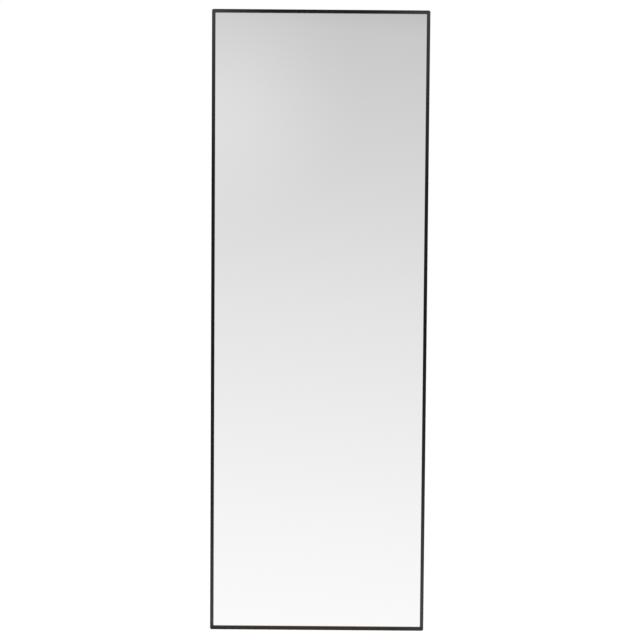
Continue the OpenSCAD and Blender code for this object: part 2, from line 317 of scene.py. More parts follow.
# %% [markdown]
# ## Black powder coat
#
# The frame is extruded aluminium with a semi-matt black powder coat. Powder melts into a skin that is
# slightly wavy, like the peel of an orange, so the gloss breaks up along the rail. The real waves are
# about a millimetre and a few hundredths deep, which is too fine for the picture, so they are drawn at
# 2.2 mm and deeper, with smaller ones on them. The coat isn't painted black all over: towards the
# corners it is painted grey, a painted sheen for the light that the ends of the rails catch, and the
# lowest rail is painted paler and warmer, as painted light along the foot. Two fainter patches of
# painted sheen lie low on the right stile and on the middle of the top rail. All are painted by how near
# a point is to a spot, in reaches of its own for each direction, and a slow drift keeps the borders and
# the long rails from looking drawn with a ruler.

# %% Black powder coat on aluminium, with painted sheen at the corners and painted light along the foot
CORNER_SPOT = (FRAME_W / 2, -FRONT_Y, FRAME_H / 2)
# The corners' grey is painted sheen, for the light that the ends of the rails catch.
CORNER_SHEEN_REACH = (165, 22, 450)
CORNER_SHEEN_STOPS = ((0.02, "#434241"), (0.30, "#2D2D2C"), (0.62, "#171716"), (1.0, "#111111"))
# The foot band is painted light: the lowest rail is painted paler and warmer.
FOOT_SPOT = (0, FRONT_Y, -FRAME_H / 2)
FOOT_LIGHT_REACH = (400, 10, 12)
# Paler patches of painted sheen on the right stile and the top rail.
SHEEN_PATCHES = (
    ((FRAME_W / 2, FRONT_Y, -370), (60, 12, 330), "#22201A"),
    ((0, FRONT_Y, FRAME_H / 2), (110, 12, 60), "#111111"),
)


def away(tree, at, spot, reach):
    """How far a point is from a spot: one is as far as the reach along each axis, in millimetres."""
    back = [-s / r for s, r in zip(spot, reach)]
    moved = add(tree, "Mapping", {"Vector": at, "Scale": [per(r) for r in reach], "Location": back})
    return add(tree, "VectorMath", {0: moved}, operation="LENGTH").outputs["Value"]


powder_black, tree, surface, at = finish("Black_powder_coat_on_aluminium", Specular_IOR_Level=0.12)
drift = add(tree, "TexNoise", {"Vector": at, "Scale": per(170), "Detail": 3.0, "Roughness": 0.55})
uneven = add(tree, "MapRange", {"Value": drift, "To Min": -0.15, "To Max": 0.15})
folded = add(tree, "VectorMath", {0: at}, operation="ABSOLUTE")
# Painted sheen: the coat is painted greyer towards each corner.
from_corner = away(tree, folded, CORNER_SPOT, CORNER_SHEEN_REACH)
corner_sheen = add(tree, "Math", {0: from_corner, 1: uneven}, operation="ADD")
colour = add(tree, "ValToRGB", {"Fac": corner_sheen}, stops=CORNER_SHEEN_STOPS)
# Painted light: a warm, paler band along the lowest rail.
from_foot = away(tree, at, FOOT_SPOT, FOOT_LIGHT_REACH)
foot_light = add(tree, "MapRange", {"Value": from_foot, "From Min": 1.0, "From Max": 0.6})
brown = add(tree, "ValToRGB", {"Fac": from_foot}, stops=((0.10, "#422E1D"), (0.50, "#302E2C")))
layers = [("MIX", foot_light, brown)]
# Painted sheen: paler patches on the right stile and the top rail.
for spot, reach, paler in SHEEN_PATCHES:
    near = add(tree, "MapRange", {"Value": away(tree, at, spot, reach), "From Min": 1.0, "From Max": 0.0})
    layers.append(("ADD", near, paler))
grain = add(tree, "TexNoise", {"Vector": at, "Scale": per(0.9), "Detail": 2.0})
sparkle = add(tree, "ValToRGB", {"Fac": grain}, stops=((0.42, "#000000"), (0.78, "#0C0C0C")))
layers.append(("ADD", 0.8, sparkle))
for kind, strength, over in layers:
    sockets = {"Factor": strength, MIX_UNDER: colour, MIX_OVER: over}
    colour = add(tree, "Mix", sockets, data_type="RGBA", blend_type=kind).outputs[MIX_COLOUR]
gloss = add(tree, "MapRange", {"Value": drift, "To Min": 0.40, "To Max": 0.52})
peel = add(tree, "TexNoise", {"Vector": at, "Scale": per(2.2), "Detail": 3.0})
skin = add(tree, "Bump", {"Height": peel, "Strength": 0.8, "Distance": 0.25 * MM})
feed(surface, {"Base Color": colour, "Roughness": gloss, "Normal": skin})
print(powder_black.name, len(tree.nodes), "nodes")

# %% [markdown]
# ## Sawn aluminium
#
# The mitres are cut after coating, so the metal under the powder is bare there, with the fine arcs of the
# saw. They show only at a hair's breadth in the joint, and on each rail when it is looked at by itself.

# %% Sawn aluminium of the mitre faces
bare = {"Base_Color": "#C9CACB", "Metallic": 1.0, "Roughness": 0.38}
sawn_aluminium, tree, surface, at = finish("Sawn_aluminium", **bare)
saw_marks = {"Vector": at, "Scale": per(1.1), "Distortion": 2.0, "Detail": 1.0}
arcs = add(tree, "TexWave", saw_marks, wave_type="BANDS", bands_direction="DIAGONAL")
ridges = add(tree, "Bump", {"Height": arcs.outputs["Fac"], "Strength": 0.4, "Distance": 0.03 * MM})
feed(surface, {"Normal": ridges})
print(sawn_aluminium.name, len(tree.nodes), "nodes")

# %% [markdown]
# ## Silvered glass
#
# Float glass is silvered on its back and painted over. From the front it is a flawless, neutral mirror,
# so the front of the pane is bright metal. A mirror that has been wiped is not equally sharp all over, so
# the roughness drifts by a hundredth. Its edge is ground, dull and deep green, and its back has a grey
# protective paint with the faint ripple of a curtain coater.

# %% The silvered face, the ground edge and the painted back of the pane
silver_face, tree, surface, at = finish("Silvered_float_glass", Base_Color="#FDFDFD", Metallic=1.0)
wiped = add(tree, "TexNoise", {"Vector": at, "Scale": per(90), "Detail": 2.0, "Distortion": 0.8})
haze = add(tree, "MapRange", {"Value": wiped, "To Min": 0.0, "To Max": 0.012})
feed(surface, {"Roughness": haze})

ground_edge, tree, surface, at = finish("Ground_glass_edge", Roughness=0.55, IOR=1.52)
depth = add(tree, "TexNoise", {"Vector": at, "Scale": per(14), "Detail": 3.0})
green = add(tree, "ValToRGB", {"Fac": depth}, stops=((0.3, "#5E8A78"), (0.7, "#8FB3A3")))
grit = add(tree, "TexNoise", {"Vector": at, "Scale": per(0.3), "Detail": 2.0})
frost = add(tree, "Bump", {"Height": grit, "Strength": 0.5, "Distance": 0.02 * MM})
feed(surface, {"Base Color": green, "Normal": frost})

back_paint, tree, surface, at = finish("Grey_mirror_back_paint", Roughness=0.5)
flow = add(tree, "TexNoise", {"Vector": at, "Scale": per(60), "Detail": 2.0})
grey = add(tree, "ValToRGB", {"Fac": flow}, stops=((0.3, "#59605E"), (0.7, "#6B7270")))
ripple = add(tree, "Bump", {"Height": flow, "Strength": 0.2, "Distance": 0.1 * MM})
feed(surface, {"Base Color": grey, "Normal": ripple})
print(silver_face.name, ground_edge.name, back_paint.name)

# %% [markdown]
# ## Foam and fibreboard
#
# The foam is a white closed-cell polyethylene, with bubbles of about a millimetre that show as soft
# dimples. The board is medium-density fibreboard: pressed wood fibre, tan, faintly cloudy where the mat
# was denser, with short darker fibres that lie every way and a few dark specks of bark. A strand is about
# two millimetres long and a quarter thick, drawn here at twice that thickness, so a noise is stretched to
# that shape and laid in four directions. A Mapping node set to Texture turns before it stretches, which
# is what lets each layer point its own way. A coarser noise at 5 mm stands for the clumps that still show
# from two metres away.

# %% White polyethylene foam
chalky = {"Base_Color": "#EDEDEA", "Roughness": 0.75}
white_foam, tree, surface, at = finish("Closed_cell_polyethylene_foam", **chalky)
cells = add(tree, "TexVoronoi", {"Vector": at, "Scale": per(1.2)}, feature="SMOOTH_F1")
dimples = add(tree, "Bump", {"Height": cells, "Strength": 0.5, "Distance": 0.1 * MM})
feed(surface, {"Normal": dimples})
print(white_foam.name)

# %% Tan fibreboard
STRAND_L = 2.0
STRAND_W = 0.5

fibreboard, tree, surface, at = finish("Medium_density_fibreboard", Specular_IOR_Level=0.3)
mat = add(tree, "TexNoise", {"Vector": at, "Scale": per(120), "Detail": 4.0, "Roughness": 0.6})
colour = add(tree, "ValToRGB", {"Fac": mat}, stops=((0.25, "#A5835E"), (0.75, "#B5936C")))
clumps = add(tree, "TexNoise", {"Vector": at, "Scale": per(5), "Detail": 6.0, "Roughness": 0.75})
layers = [(0.30, clumps, ((0.30, "#A8A29A"), (0.62, "#FFFFFF")))]
for turn in (20, 65, 110, 155):
    stretched = (STRAND_L * MM, STRAND_L * MM, STRAND_W * MM)
    sockets = {"Vector": at, "Rotation": (0, math.radians(turn), 0), "Scale": stretched}
    laid = add(tree, "Mapping", sockets, vector_type="TEXTURE")
    strands = add(tree, "TexNoise", {"Vector": laid, "Scale": 1.0, "Detail": 2.0, "Distortion": 0.3})
    layers.append((0.35, strands, ((0.33, "#8A745C"), (0.45, "#FFFFFF"))))
bark = add(tree, "TexVoronoi", {"Vector": at, "Scale": per(9), "Randomness": 1.0})
layers.append((0.7, bark, ((0.035, "#5A4430"), (0.06, "#FFFFFF"))))
for strength, pattern, stops in layers:
    layer = add(tree, "ValToRGB", {"Fac": pattern}, stops=stops)
    sockets = {"Factor": strength, MIX_UNDER: colour, MIX_OVER: layer}
    colour = add(tree, "Mix", sockets, data_type="RGBA", blend_type="MULTIPLY").outputs[MIX_COLOUR]
dull = add(tree, "MapRange", {"Value": clumps, "To Min": 0.62, "To Max": 0.82})
nap = add(tree, "Bump", {"Height": strands, "Strength": 0.25, "Distance": 0.05 * MM})
feed(surface, {"Base Color": colour, "Roughness": dull, "Normal": nap})
print(fibreboard.name, len(tree.nodes), "nodes")

# %% [markdown]
# ## The metals of the hardware
#
# The corner keys, nuts, plates and screws are steel with bright zinc plating: pale, slightly blue and
# slightly yellow in patches, with a spangle of a few millimetres. The springs are blued strip with drawn
# streaks, the set screws are black oxide, which is dark and oily, and the rings are nickel-plated wire,
# warmer and glossier than zinc.

# %% Bright zinc plate
zinc_plate, tree, surface, at = finish("Bright_zinc_plated_steel", Metallic=1.0)
patches = add(tree, "TexNoise", {"Vector": at, "Scale": per(6), "Detail": 3.0, "Roughness": 0.6})
tinted = add(tree, "ValToRGB", {"Fac": patches}, stops=((0.32, "#BFC6CC"), (0.68, "#CFCBBE")))
spangle = add(tree, "TexVoronoi", {"Vector": at, "Scale": per(2.5)})
bright = add(tree, "MapRange", {"Value": spangle, "To Min": 0.24, "To Max": 0.42})
rolled = add(tree, "Bump", {"Height": patches, "Strength": 0.25, "Distance": 0.05 * MM})
feed(surface, {"Base Color": tinted, "Roughness": bright, "Normal": rolled})
print(zinc_plate.name)

# %% Blued spring steel, black oxide and nickel
blued_steel, tree, surface, at = finish("Blued_spring_steel", Metallic=1.0)
drawn = add(tree, "TexNoise", {"Vector": at, "Scale": per(3), "Detail": 4.0, "Roughness": 0.7})
temper = add(tree, "ValToRGB", {"Fac": drawn}, stops=((0.3, "#3A4350"), (0.7, "#5B6069")))
worn = add(tree, "MapRange", {"Value": drawn, "To Min": 0.28, "To Max": 0.46})
feed(surface, {"Base Color": temper, "Roughness": worn})

black_oxide, tree, surface, at = finish("Black_oxide_steel", Metallic=0.9)
oil = add(tree, "TexNoise", {"Vector": at, "Scale": per(1.5), "Detail": 2.0})
dark = add(tree, "ValToRGB", {"Fac": oil}, stops=((0.3, "#1E1E21"), (0.7, "#2E2D2E")))
oiled = add(tree, "MapRange", {"Value": oil, "To Min": 0.35, "To Max": 0.55})
feed(surface, {"Base Color": dark, "Roughness": oiled})

nickel_wire, tree, surface, at = finish("Nickel_plated_wire", Metallic=1.0)
die = add(tree, "TexNoise", {"Vector": at, "Scale": per(2), "Detail": 3.0})
warm_grey = add(tree, "ValToRGB", {"Fac": die}, stops=((0.3, "#C4BEB2"), (0.7, "#D6D2C8")))
polish = add(tree, "MapRange", {"Value": die, "To Min": 0.14, "To Max": 0.26})
feed(surface, {"Base Color": warm_grey, "Roughness": polish})
print(blued_steel.name, black_oxide.name, nickel_wire.name)

# %% [markdown]
# ## Moulded rubber
#
# The bumpers are soft black rubber out of a mould with a spark-eroded surface: near black, without a
# highlight, and with a fine, even grain.

# %% Black moulded rubber
moulded_rubber, tree, surface, at = finish("Moulded_black_rubber", Specular_IOR_Level=0.35)
bloom = add(tree, "TexNoise", {"Vector": at, "Scale": per(3), "Detail": 3.0})
sooty = add(tree, "ValToRGB", {"Fac": bloom}, stops=((0.3, "#151516"), (0.7, "#232324")))
dust = add(tree, "MapRange", {"Value": bloom, "To Min": 0.66, "To Max": 0.84})
spark = add(tree, "TexNoise", {"Vector": at, "Scale": per(0.35), "Detail": 1.0})
pores = add(tree, "Bump", {"Height": spark, "Strength": 0.5, "Distance": 0.03 * MM})
feed(surface, {"Base Color": sooty, "Roughness": dust, "Normal": pores})
print(moulded_rubber.name)

# %% [markdown]
# ## Working with the modelling operators
#
# An operator acts on everything that is selected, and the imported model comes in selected. So each piece
# first becomes the only selected object, which a new one is by itself. In edit mode its faces, edges or
# corners are picked by where they are and which way they face. All places below are in millimetres.

# %% Picking, adding and finishing
MERGE_WITHIN = 0.005
NEAR = 0.01
ALONG = 0.9


def only(piece):
    """Makes one piece the active object and the only selected one."""
    bpy.ops.object.select_all(action="DESELECT")
    piece.select_set(True)
    bpy.context.view_layer.objects.active = piece


def edit(piece):
    """Opens a piece in edit mode with everything selected."""
    only(piece)
    bpy.ops.object.mode_set(mode="EDIT")
    bpy.ops.mesh.select_mode(type="VERT")
    bpy.ops.mesh.select_all(action="SELECT")


def pick(piece, kind, test):
    """Selects what passes a test of its middle in millimetres and its direction, and counts it."""
    bpy.ops.mesh.select_mode(type=kind)
    bpy.ops.mesh.select_all(action="DESELECT")
    mesh = bmesh.from_edit_mesh(piece.data)
    count = 0
    for item in {"VERT": mesh.verts, "EDGE": mesh.edges, "FACE": mesh.faces}[kind]:
        if kind == "VERT":
            middle, direction = item.co, item.normal
        elif kind == "EDGE":
            middle = (item.verts[0].co + item.verts[1].co) / 2
            direction = (item.verts[1].co - item.verts[0].co).normalized()
        else:
            middle, direction = item.calc_center_median(), item.normal
        if test(middle / MM, direction):
            item.select_set(True)
            count += 1
    mesh.select_flush_mode()
    bmesh.update_edit_mesh(piece.data)
    return count


def close():
    """Merges doubled corners, turns the faces outwards and leaves edit mode."""
    bpy.ops.mesh.select_all(action="SELECT")
    bpy.ops.mesh.remove_doubles(threshold=MERGE_WITHIN * MM)
    bpy.ops.mesh.normals_make_consistent(inside=False)
    bpy.ops.object.mode_set(mode="OBJECT")


def cut(at, across, **options):
    """Cuts the whole mesh along a plane, by a point in millimetres and the direction square to it."""
    bpy.ops.mesh.select_all(action="SELECT")
    bpy.ops.mesh.bisect(plane_co=[v * MM for v in at], plane_no=across, **options)


def extrude(x, y, z):
    """Extrudes the selection by a distance in millimetres."""
    bpy.ops.mesh.extrude_region_move(TRANSFORM_OT_translate={"value": (x * MM, y * MM, z * MM)})


def bevel(piece, kind, test, width, segments=1):
    """Bevels the edges or corners that pass a test by a width in millimetres, and counts them."""
    count = pick(piece, kind, test)
    affect = {"EDGE": "EDGES", "VERT": "VERTICES"}[kind]
    bpy.ops.mesh.bevel(affect=affect, offset=width * MM, segments=segments)
    return count


def widen(share, x=0, z=0):
    """Widens the selection about a line along the depth, whose place is in millimetres."""
    bpy.ops.transform.resize(value=(share, 1, share), center_override=(x * MM, 0, z * MM))


def box_of(node_name):
    """The lowest and the highest corner of a node at rest, in millimetres."""
    return [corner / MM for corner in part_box(node_name)]


def block(name, a, b):
    """Starts a piece as a box between two corners in millimetres, with its place in its mesh."""
    middle = [(p + q) / 2 * MM for p, q in zip(a, b)]
    size = [abs(q - p) * MM for p, q in zip(a, b)]
    bpy.ops.mesh.primitive_cube_add(size=1, location=middle, scale=size)
    bpy.ops.object.transform_apply(location=True, rotation=True, scale=True)
    piece = bpy.context.active_object
    piece.name = name
    return piece


def rod(name, a, radius, length, sides=32, small=None):
    """Starts a piece as a cylinder or cone that runs from a point towards the rear."""
    small = radius if small is None else small
    shape = {"radius1": radius * MM, "radius2": small * MM, "depth": length * MM}
    bpy.ops.mesh.primitive_cone_add(vertices=sides, **shape)
    piece = bpy.context.active_object
    piece.data.transform(Matrix.Translation((0, 0, length / 2 * MM)))
    piece.data.transform(Matrix.Translation(Vector(a) * MM) @ Matrix.Rotation(math.radians(-90), 4, "X"))
    piece.name = name
    return piece


def modify(piece, kind, **settings):
    """Adds a modifier and applies it."""
    only(piece)
    modifier = piece.modifiers.new(kind, kind)
    for name, value in settings.items():
        setattr(modifier, name, value)
    bpy.ops.object.modifier_apply(modifier=modifier.name)


def soften(piece, width, segments=2, angle=35):
    """Rounds the sharp edges of a piece by a width in millimetres."""
    modify(
        piece, "BEVEL", width=width * MM, segments=segments, limit_method="ANGLE",
        angle_limit=math.radians(angle), use_clamp_overlap=True, miter_outer="MITER_ARC",
    )


def drill(piece, cutter):
    """Cuts one piece's shape out of another and removes the cutter."""
    modify(piece, "BOOLEAN", object=cutter, operation="DIFFERENCE", solver="EXACT")
    bpy.data.objects.remove(cutter)


def twin(piece, name, place):
    """A copy with a mesh of its own, put in place by a matrix. A mirrored one gets its faces turned out."""
    made = piece.copy()
    made.data = piece.data.copy()
    made.name = name
    bpy.context.scene.collection.objects.link(made)
    made.data.transform(place)
    if place.determinant() < 0:
        made.data.flip_normals()
    return made


def joined(name, parts):
    """Joins pieces into the first of them, and names it."""
    only(parts[0])
    for other in parts[1:]:
        other.select_set(True)
    bpy.ops.object.join()
    parts[0].name = name
    return parts[0]


def done(piece, body, slot, node_name, *materials, angle=35):
    """Smooths a finished piece, gives it its materials, ties it to its body and hides the node it replaces.
    """
    only(piece)
    bpy.ops.object.shade_smooth_by_angle(angle=math.radians(angle))
    modify(piece, "WEIGHTED_NORMAL", keep_sharp=True)
    for material in materials:
        piece.data.materials.append(material)
    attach(piece, body)
    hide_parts(node_name)
    print(piece.name, len(piece.data.polygons), "faces")


# %% [markdown]
# ## Where things sit on the frame
#
# The drawing has one top rail, and the other three sides are the same rail turned about the mirror's
# middle. The hardware in a corner is drawn at the top right, and the other corners are its reflections.

# %% Turning to a side and reflecting into a corner
SIDES = {"top": 0, "right": 90, "bottom": 180, "left": 270}
CORNERS = {"top_right": (1, 1), "bottom_right": (1, -1), "bottom_left": (-1, -1), "top_left": (-1, 1)}


def to_side(side):
    """Turns a piece drawn above the middle round to a side, about Y."""
    return Matrix.Rotation(math.radians(SIDES[side]), 4, "Y")


def to_corner(corner):
    """Reflects a piece drawn in the top right corner into another one."""
    x, z = CORNERS[corner]
    return Matrix.Diagonal((x, 1, z, 1))


print(len(SIDES), "sides and", len(CORNERS), "corners")

# %% [markdown]
# ## The four rails
#
# A die for extrusion starts as a flat plate, and so does the section here: a plane as large as the whole
# section is cut along every wall line, what is air is deleted, and what is left is one outline. Its
# corners are rounded, it is drawn out along the rail, and the ends are sawn at 45 degrees. The tip of a
# sawn end is sharp, so the outer corners are filed round, and the mitre's edges get the finest of bevels,
# so that a hairline shows where two rails meet.

# %% One rail: a section, drawn out and mitred
DEPTH_LINES = (LIP_T, FLOOR_AT, FLOOR_AT + FLOOR_T, FRAME_D - REAR_LIP_T)
ACROSS_LINES = (WALL_T, SLOT_AT - SLOT_W / 2, FACE_W, SLOT_AT + SLOT_W / 2, SECTION_W - SIDE_T)
SAW_SPARE = 2.0
SAW_WITHIN = 0.001
HAIRLINE = 0.1
CORNER_R = 3.0
CORNER_STEPS = 4


def is_metal(depth, across):
    """True where the section is metal, by depth behind the front and distance in from the outer face."""
    front_lip = depth < LIP_T and across < FACE_W
    floor = FLOOR_AT < depth < FLOOR_AT + FLOOR_T
    inner_wall = depth > FLOOR_AT and across > SECTION_W - SIDE_T
    rear_lips = depth > FRAME_D - REAR_LIP_T and abs(across - SLOT_AT) > SLOT_W / 2
    return across < WALL_T or front_lip or floor or inner_wall or rear_lips


def section_plate(name, start):
    """The outline of the section as one flat face, square to X."""
    middle = (start * MM, (FRONT_Y + FRAME_D / 2) * MM, (-SECTION_W / 2) * MM)
    bpy.ops.mesh.primitive_plane_add(size=1, location=middle, rotation=(0, math.radians(90), 0))
    plate = bpy.context.active_object
    plate.name = name
    plate.scale = (SECTION_W * MM, FRAME_D * MM, 1)
    bpy.ops.object.transform_apply(location=True, rotation=True, scale=True)
    edit(plate)
    for depth in DEPTH_LINES:
        cut((0, FRONT_Y + depth, 0), REAR)
    for across in ACROSS_LINES:
        cut((0, 0, -across), UP)
    pick(plate, "FACE", lambda p, n: not is_metal(p.y - FRONT_Y, -p.z))
    bpy.ops.mesh.delete(type="FACE")
    bpy.ops.mesh.select_all(action="SELECT")
    bpy.ops.mesh.dissolve_limited(angle_limit=math.radians(1))
    return plate


def round_corners(plate):
    """Rounds the three corners that show by the die's radius, and takes the sharpness off the others."""
    def is_shown(p, n):
        depth, across = p.y - FRONT_Y, -p.z
        outer = across < NEAR and (depth < NEAR or depth > FRAME_D - NEAR)
        return outer or (depth < NEAR and abs(across - FACE_W) < NEAR)

    eased = bevel(plate, "VERT", lambda p, n: not is_shown(p, n), SOFT_R)
    rounded = bevel(plate, "VERT", is_shown, EDGE_R, 4)
    print("section with", rounded, "round and", eased, "eased corners")


def saw_off(at, across):
    """Takes off what lies beyond a plane and closes the cut, also where that is only a hair."""
    cut(at, across, use_fill=True, clear_outer=True, threshold=SAW_WITHIN * MM)


def rail(name, length, across_half):
    """A rail of a full outer length, drawn at the top of a frame whose half height is across_half."""
    reach = length / 2 + SAW_SPARE
    piece = section_plate(name, -reach)
    round_corners(piece)
    bpy.ops.mesh.select_all(action="SELECT")
    extrude(2 * reach, 0, 0)
    bpy.ops.mesh.select_all(action="SELECT")
    bpy.ops.mesh.normals_make_consistent(inside=False)
    for end in (1, -1):
        saw_off((end * length / 2, 0, 0), Vector((end, 0, -1)).normalized())
        middle = Vector((end * (length / 2 - CORNER_R), 0, -CORNER_R))
        for i in range(1, CORNER_STEPS + 1):
            tilt = math.radians(45 * i / CORNER_STEPS)
            file_to = Vector((end * math.sin(tilt), 0, math.cos(tilt)))
            saw_off(middle + CORNER_R * file_to, file_to)
    pick(piece, "FACE", lambda p, n: abs(n.x) > 0.5 and n.z < -0.5)
    bpy.ops.mesh.region_to_loop()
    bpy.ops.mesh.bevel(affect="EDGES", offset=HAIRLINE * MM, segments=1)
    close()
    piece.data.transform(Matrix.Translation((0, 0, across_half * MM)))
    return piece


def coat(piece):
    """Powder coat all over, and bare sawn metal on the two mitre faces."""
    for face in piece.data.polygons:
        face.material_index = 0
    largest = sorted(piece.data.polygons, key=lambda face: -len(face.vertices))[:2]
    for face in largest:
        face.material_index = 1


# %% Two lengths of rail, each used twice
short_rail = rail("Frame_top_rail", FRAME_W, FRAME_H / 2)
long_rail = rail("Frame_right_stile", FRAME_H, FRAME_W / 2)
rails = {
    "frame_top_rail": short_rail,
    "frame_bottom_rail": twin(short_rail, "Frame_bottom_rail", to_side("bottom")),
    "frame_left_stile": twin(long_rail, "Frame_left_stile", to_side("left")),
    "frame_right_stile": long_rail,
}
long_rail.data.transform(to_side("right"))
for node_name, piece in rails.items():
    coat(piece)
    done(piece, "mirror", "frame", node_name, powder_black, sawn_aluminium, angle=30)

# %% [markdown]
# ## The pane, the foam and the board
#
# The glass is cut, and a belt takes the sharpness off its edges, which leaves a narrow bevel all round.
# The foam is squeezed a little, so its edge is rounded, and the board's edges are sanded.

# %% The mirror pane with its ground edges
ARRIS = 0.5
CORNER_DUB = 0.8

pane = block("Mirror_pane", *box_of("mirror_glass"))
edit(pane)
bevel(pane, "EDGE", lambda p, d: abs(d.y) > ALONG, CORNER_DUB, 3)
bevel(pane, "EDGE", lambda p, d: abs(d.y) < 1 - ALONG, ARRIS)
close()
for face in pane.data.polygons:
    face.material_index = 0 if face.normal.y < -ALONG else 2 if face.normal.y > ALONG else 1
done(pane, "mirror", "silvered_glass", "mirror_glass", silver_face, ground_edge, back_paint, angle=20)

# %% The foam sheet and the backing board
FOAM_EDGE_R = 0.45
BOARD_EDGE_R = 0.6

foam = block("Cushion_sheet", *box_of("cushion_sheet"))
soften(foam, FOAM_EDGE_R, 3)
done(foam, "mirror", "foam", "cushion_sheet", white_foam)

board = block("Backing_board", *box_of("backing_board"))
soften(board, BOARD_EDGE_R, 3)
done(board, "mirror", "fibreboard", "backing_board", fibreboard)

# %% [markdown]
# ## The spring clips
#
# A clip is a strip of spring steel with rounded corners, bowed so that its crown bears on the floor of
# the channel and its ends on the board. The strip is modelled flat and then bent, as on a former.

# %% One bowed clip, used eight times
CLIP_T = 0.5
CLIP_CORNER_R = 2.0
CLIP_EDGE_R = 0.08
CLIP_STEPS = 24

clip_low, clip_high = box_of("spring_top")
clip_size = clip_high - clip_low
clip_bow = clip_size.y - CLIP_T
clip_angle = 4 * math.atan(2 * clip_bow / clip_size.x)
strip_low = (-clip_size.x / 2, clip_high.y - CLIP_T, clip_low.z)
clip = block("Clip", strip_low, (clip_size.x / 2, clip_high.y, clip_high.z))
edit(clip)
bevel(clip, "EDGE", lambda p, d: abs(d.y) > ALONG, CLIP_CORNER_R, 5)
for i in range(1, CLIP_STEPS):
    cut(((i / CLIP_STEPS - 0.5) * clip_size.x, 0, 0), RIGHT)
close()
soften(clip, CLIP_EDGE_R, 1, 50)
clip_mid = Matrix.Translation((0, clip_high.y * MM, (clip_low.z + clip_high.z) / 2 * MM))
clip.data.transform(clip_mid.inverted())
modify(clip, "SIMPLE_DEFORM", deform_method="BEND", deform_axis="Z", angle=-clip_angle)
clip.data.transform(clip_mid)
print("clip bow", round(clip_bow, 3), "mm, angle", round(math.degrees(clip_angle), 2))

# %% The clips in their places along the four sides
CLIP_Z = sum(corner.z for corner in box_of("spring_right_top")) / 2
CLIP_PLACES = {
    "spring_top": ("top", 0),
    "spring_bottom": ("bottom", 0),
    "spring_right_top": ("right", -CLIP_Z),
    "spring_right_middle": ("right", 0),
    "spring_right_bottom": ("right", CLIP_Z),
    "spring_left_top": ("left", CLIP_Z),
    "spring_left_middle": ("left", 0),
    "spring_left_bottom": ("left", -CLIP_Z),
}
clip.data.transform(Matrix.Translation((0, 0, -FRAME_H / 2 * MM)))
for node_name, (side, along) in CLIP_PLACES.items():
    half = FRAME_H / 2 if side in ("top", "bottom") else FRAME_W / 2
    place = to_side(side) @ Matrix.Translation((along * MM, 0, half * MM))
    done(twin(clip, node_name.capitalize(), place), "mirror", "spring_steel", node_name, blued_steel)
bpy.data.objects.remove(clip)

# %% [markdown]
# ## The corner keys
#
# A key is an L stamped from steel plate, with four tapped holes, and under it lies a thin plate of the
# same outline. The L is a bar at first; the part of its lower face nearest the corner is then pulled down
# to make the second leg. The stamp leaves slightly rounded edges, and the tap leaves a small chamfer at
# each hole.

# %% The L shape, and the key with its holes
KEY_LEG = 38.0
KEY_HOLE_END = 6.0
KEY_HOLE_PITCH = 14.0
KEY_EDGE_R = 0.2
BACKUP_EDGE_R = 0.12
SCREW_D = 4.0
TAP_PLAY = 0.05
TAP_CHAMFER = 0.2
TAP_SPARE = 0.5


def ell(name, node_name):
    """An L with its outer corner in the top right corner of the frame, as thick as its node."""
    a, b = box_of(node_name)
    leg_w = 2 * (b.x - (FRAME_W / 2 - SLOT_AT))
    piece = block(name, (a.x, a.y, b.z - leg_w), (b.x, b.y, b.z))
    edit(piece)
    cut((b.x - leg_w, 0, 0), RIGHT)
    pick(piece, "FACE", lambda p, n: n.z < -ALONG and p.x > b.x - leg_w)
    extrude(0, 0, a.z - (b.z - leg_w))
    bpy.ops.mesh.select_all(action="SELECT")
    bpy.ops.mesh.dissolve_limited(angle_limit=math.radians(1))
    close()
    return piece


def tap(x, z, low_y, high_y):
    """A cutter for a tapped hole along the depth, flared at both faces for the tap's chamfer."""
    radius = SCREW_D / 2 + TAP_PLAY
    cutter = rod("Tap", (x, low_y - TAP_SPARE, z), radius, high_y - low_y + 2 * TAP_SPARE)
    share = (radius + TAP_SPARE + TAP_CHAMFER) / radius
    edit(cutter)
    for level in (low_y + TAP_CHAMFER, high_y - TAP_CHAMFER):
        cut((0, level, 0), REAR)
    for end in (low_y - TAP_SPARE, high_y + TAP_SPARE):
        pick(cutter, "FACE", lambda p, n: abs(n.y) > ALONG and abs(p.y - end) < NEAR)
        widen(share, x, z)
    bpy.ops.object.mode_set(mode="OBJECT")
    return cutter


def key_hole_places():
    """The middles of the four holes of the top right key, in X and Z."""
    for i in range(2):
        along = KEY_LEG - KEY_HOLE_END - i * KEY_HOLE_PITCH
        yield FRAME_W / 2 - along, FRAME_H / 2 - SLOT_AT
        yield FRAME_W / 2 - SLOT_AT, FRAME_H / 2 - along


key = ell("Corner_key_top_right", "corner_key_top_right")
key_low, key_high = box_of("corner_key_top_right")
soften(key, KEY_EDGE_R, 2)
for x, z in key_hole_places():
    drill(key, tap(x, z, key_low.y, key_high.y))
backup = ell("Corner_backup_top_right", "corner_backup_top_right")
soften(backup, BACKUP_EDGE_R, 1)
for corner in CORNERS:
    for piece, kind in ((key, "corner_key_"), (backup, "corner_backup_")):
        node_name = kind + corner
        if corner != "top_right":
            piece = twin(piece, node_name.capitalize(), to_corner(corner))
        done(piece, "mirror", "zinc_plate", node_name, zinc_plate)

# %% [markdown]
# ## The set screws
#
# Each set screw is a short threaded stud with a hexagon socket, chamfered at both ends. Its socket shows
# in the slot at the back of the frame, two to each leg of a key. The thread is M4, with a pitch of 0.7
# mm: the shank is cut across at every half pitch, and every second cut is drawn in.

# %% A thread on a shank, drawn as rings
THREAD_PITCH = 0.7
THREAD_DEPTH = 0.4
CREST_BAND = 0.1
ROOT_WITHIN = 0.02


